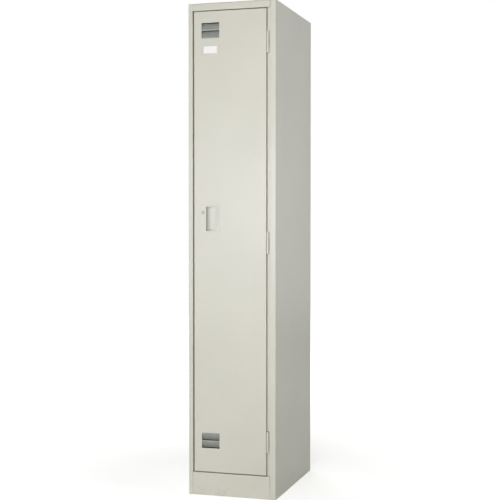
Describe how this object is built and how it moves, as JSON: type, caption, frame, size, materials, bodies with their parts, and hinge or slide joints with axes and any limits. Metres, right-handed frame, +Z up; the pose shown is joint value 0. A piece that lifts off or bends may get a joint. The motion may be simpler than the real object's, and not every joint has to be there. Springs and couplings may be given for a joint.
{
  "type": "personal locker",
  "caption": "Tall narrow steel locker with an inset hinged door, louvred vents, card holder, recessed pull with cylinder lock, hat shelf and hanging space.",
  "frame": {"origin": "middle of the footprint on the floor", "axes": "+Z up, the door faces -Y, +X to the viewer's right when facing the door"},
  "size_m": [0.33, 0.515, 1.79],
  "materials": {
    "baked_paint": "semi-gloss",
    "grey_paint": "semi-gloss",
    "zinc_plate": "satin",
    "chrome_plate": "polished",
    "pale_plastic": "fine matte",
    "grey_plastic": "matte",
    "black_rubber": "matte",
    "white_card": "matte",
    "dark_magnet": "dull",
    "mirror_glass": "polished"
  },
  "bodies": {
    "cabinet": {"left_side_panel": "baked_paint", "right_side_panel": "baked_paint", "back_panel": "baked_paint", "top_panel": "baked_paint", "head_rail": "baked_paint", "kick_plate": "baked_paint", "floor_panel": "baked_paint", "rear_base_rail": "baked_paint", "base_gusset_front_left": "baked_paint", "base_gusset_front_right": "baked_paint", "base_gusset_rear_left": "baked_paint", "base_gusset_rear_right": "baked_paint", "hat_shelf": "baked_paint", "shelf_clip_front_left": "zinc_plate", "shelf_clip_front_right": "zinc_plate", "shelf_clip_rear_left": "zinc_plate", "shelf_clip_rear_right": "zinc_plate", "hanger_rod": "chrome_plate", "rod_socket_left": "zinc_plate", "rod_socket_right": "zinc_plate", "coat_hook_left": "chrome_plate", "coat_hook_right": "chrome_plate", "umbrella_ring": "chrome_plate", "catch_case": "pale_plastic", "catch_magnet": "dark_magnet", "door_bumper_lower": "black_rubber", "door_bumper_upper": "black_rubber", "frame_hinge_leaf_lower": "baked_paint", "frame_hinge_leaf_middle": "baked_paint", "frame_hinge_leaf_upper": "baked_paint", "hinge_pin_lower": "zinc_plate", "hinge_pin_middle": "zinc_plate", "hinge_pin_upper": "zinc_plate"},
    "door": {"door_skin": "baked_paint", "door_stiffener": "baked_paint", "upper_vent": "grey_paint", "lower_vent": "grey_paint", "card_holder": "pale_plastic", "name_card": "white_card", "pull_housing": "pale_plastic", "lock_case": "chrome_plate", "mirror_frame": "grey_plastic", "mirror_glass": "mirror_glass", "towel_bar": "chrome_plate", "door_hinge_leaf_lower": "baked_paint", "door_hinge_leaf_middle": "baked_paint", "door_hinge_leaf_upper": "baked_paint"},
    "lock": {"lock_plug": "chrome_plate", "lock_cam": "zinc_plate", "cam_screw": "zinc_plate"},
    "tray": {"drip_tray": "grey_plastic"}
  },
  "joints": [
    {"name": "door_hinge", "type": "hinge", "parent": "cabinet", "child": "door", "pos_m": [0.1339, -0.2501, 0.9235], "axis": [0, 0, 1], "range_deg": [0, 115]},
    {"name": "lock_turn", "type": "hinge", "parent": "door", "child": "lock", "pos_m": [-0.1093, -0.2297, 1.0335], "axis": [0, 1, 0], "range_deg": [0, 90]},
    {"name": "tray_lift", "type": "slide", "parent": "cabinet", "child": "tray", "axis": [0, 0, 1], "range_m": [0, 0.12]}
  ]
}
